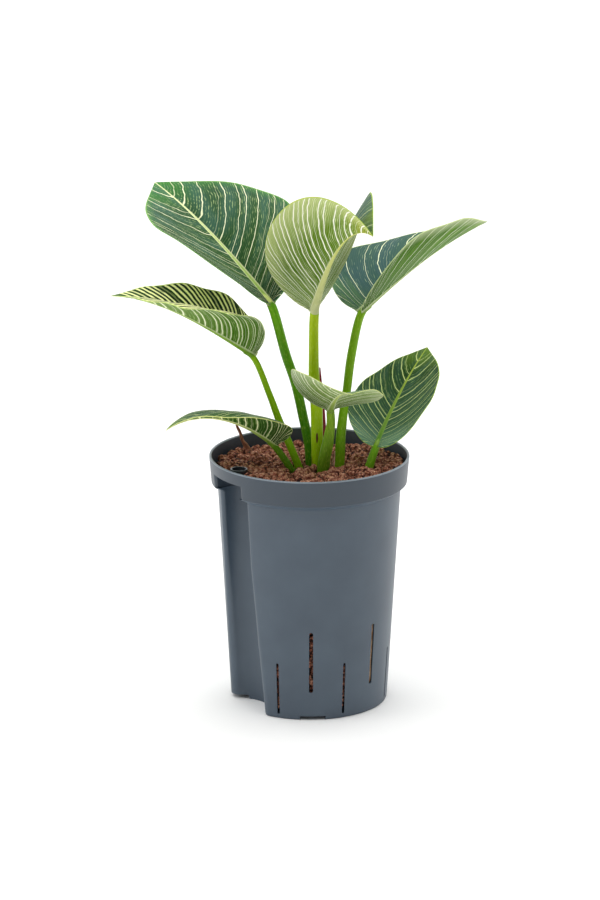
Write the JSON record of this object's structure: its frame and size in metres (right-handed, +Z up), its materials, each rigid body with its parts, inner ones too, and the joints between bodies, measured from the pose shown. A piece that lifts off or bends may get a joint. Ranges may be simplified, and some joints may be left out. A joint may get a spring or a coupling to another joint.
{
  "type": "potted white birkin philodendron",
  "caption": "Philodendron with heart-shaped striped leaves on long stalks, in a tall round hydroculture pot filled with clay granules, with a gauge recess.",
  "frame": {"origin": "middle of the pot's flat underside, on the surface that the pot stands on", "axes": "+Z up, -Y the front that the picture shows, +X to the right as seen from the front"},
  "size_m": [0.2849, 0.2954, 0.4044],
  "materials": {
    "pot_plastic": "matte",
    "expanded_clay": "matte",
    "root": "matte",
    "leaf": "satin",
    "spear": "satin",
    "dry_sheath": "matte",
    "dry_root": "matte"
  },
  "bodies": {
    "root": {"pot": "pot_plastic", "clay_granules": "expanded_clay", "crown_and_roots": "root", "leaf_top_left": "leaf", "leaf_top_centre": "leaf", "leaf_top_right": "leaf", "leaf_middle_left": "leaf", "leaf_low_left": "leaf", "leaf_low_centre": "leaf", "leaf_low_right": "leaf", "new_leaf_spear": "spear", "dry_sheath_right": "dry_sheath", "dry_sheath_left": "dry_sheath", "dry_root": "dry_root"}
  },
  "joints": []
}
